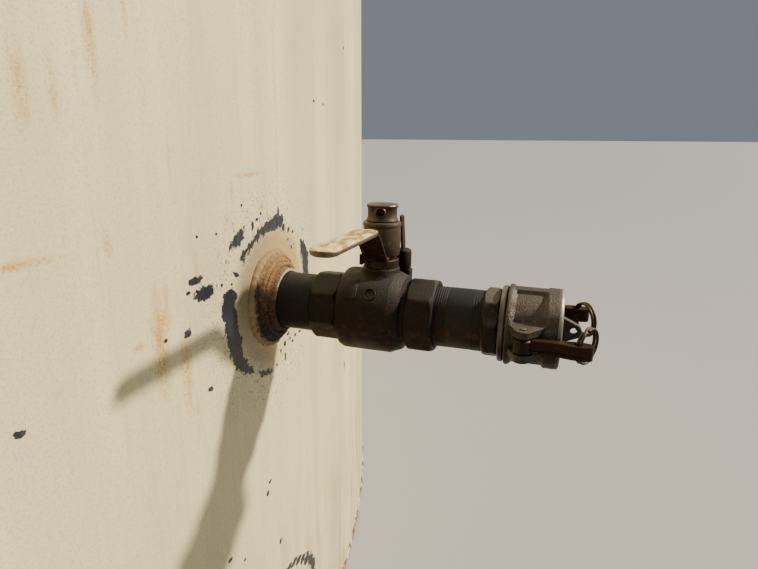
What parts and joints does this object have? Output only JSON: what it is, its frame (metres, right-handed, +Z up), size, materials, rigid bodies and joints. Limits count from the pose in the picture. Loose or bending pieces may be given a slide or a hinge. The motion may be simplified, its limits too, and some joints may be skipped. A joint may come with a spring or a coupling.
{
  "type": "vertical storage tank",
  "caption": "Upright welded steel storage tank with a capped ball-valve outlet low on the shell, a small drain valve, a cone roof, a hatch, a vent and side lugs.",
  "frame": {"origin": "centre of the tank's underside, on the ground", "axes": "+Z up along the tank's axis, +X towards the main outlet"},
  "size_m": [4.0016, 3.682, 4.9361],
  "materials": {
    "cream_paint": "weathered gloss paint, chipped and rust-streaked",
    "stained_weld": "painted weld bead with rust bleeding through",
    "rusty_steel": "rusted bare steel",
    "dark_steel": "dark threaded pipe, dirty",
    "valve_iron": "cast body, dirty and dark",
    "dull_steel": "dull turned steel with brown stain",
    "bright_steel": "polished ball",
    "cream_grip": "dipped grip, scuffed and dirty",
    "arm_bronze": "dark tarnished cast arms",
    "ring_steel": "tarnished wire",
    "cast_aluminium": "dull sand-cast, dirty",
    "bright_aluminium": "turned, rubbed bright"
  },
  "bodies": {
    "tank": {"bottom_plate": "rusty_steel", "shell_lower_front": "cream_paint", "shell_lower_back": "cream_paint", "shell_middle_front": "cream_paint", "shell_middle_back": "cream_paint", "shell_upper_front": "cream_paint", "shell_upper_back": "cream_paint", "girth_weld_middle": "stained_weld", "girth_weld_upper": "stained_weld", "top_angle": "cream_paint", "roof": "cream_paint", "hatch_neck": "cream_paint", "hatch_lid": "cream_paint", "vent_pipe": "rusty_steel", "vent_cap": "rusty_steel", "lug_near": "rusty_steel", "lug_far": "rusty_steel", "outlet_spud": "rusty_steel", "outlet_weld": "stained_weld", "inner_nipple": "dark_steel", "valve_inner_end": "valve_iron", "valve_body": "valve_iron", "valve_outer_end": "valve_iron", "valve_bonnet": "dull_steel", "outer_nipple": "dark_steel", "cam_adapter": "bright_aluminium", "dust_cap": "cast_aluminium", "cam_pin_near": "dull_steel", "cam_pin_far": "dull_steel", "drain_spud": "rusty_steel", "drain_nipple": "dark_steel", "drain_valve": "valve_iron", "drain_plug": "rusty_steel"},
    "lever": {"valve_ball": "bright_steel", "valve_stem": "dull_steel", "stem_sleeve": "dull_steel", "stem_cap": "dull_steel", "lever_strap": "rusty_steel", "lever_grip": "cream_grip", "lock_post": "valve_iron", "lock_strap": "dull_steel"},
    "cam_near": {"cam_arm_near": "arm_bronze"},
    "cam_far": {"cam_arm_far": "arm_bronze"},
    "ring_near": {"pull_ring_near": "ring_steel"},
    "ring_far": {"pull_ring_far": "ring_steel"},
    "drain_handle": {"drain_lever": "rusty_steel"}
  },
  "joints": [
    {"name": "lever_turn", "type": "hinge", "parent": "tank", "child": "lever", "pos_m": [1.95098, 0, 0.56208], "axis": [0.0157, 0, 0.9999], "range_deg": [0, 90]},
    {"name": "cam_near_open", "type": "hinge", "parent": "tank", "child": "cam_near", "pos_m": [2.09591, -0.04483, 0.55588], "axis": [-0.0156, 0.0872, -0.9961], "range_deg": [0, 100]},
    {"name": "cam_far_open", "type": "hinge", "parent": "tank", "child": "cam_far", "pos_m": [2.09603, 0.04483, 0.56373], "axis": [0.0156, -0.0872, 0.9961], "range_deg": [0, 100]},
    {"name": "ring_near_swing", "type": "hinge", "parent": "cam_near", "child": "ring_near", "pos_m": [2.1429, -0.04458, 0.55517], "axis": [-0.0156, 0.0872, -0.9961], "range_deg": [-15, 120]},
    {"name": "ring_far_swing", "type": "hinge", "parent": "cam_far", "child": "ring_far", "pos_m": [2.14302, 0.04458, 0.56297], "axis": [0.0156, -0.0872, 0.9961], "range_deg": [-15, 120]},
    {"name": "drain_turn", "type": "hinge", "parent": "tank", "child": "drain_handle", "pos_m": [1.916, 0, 0.118], "axis": [0, 0, 1], "range_deg": [0, 90]}
  ]
}
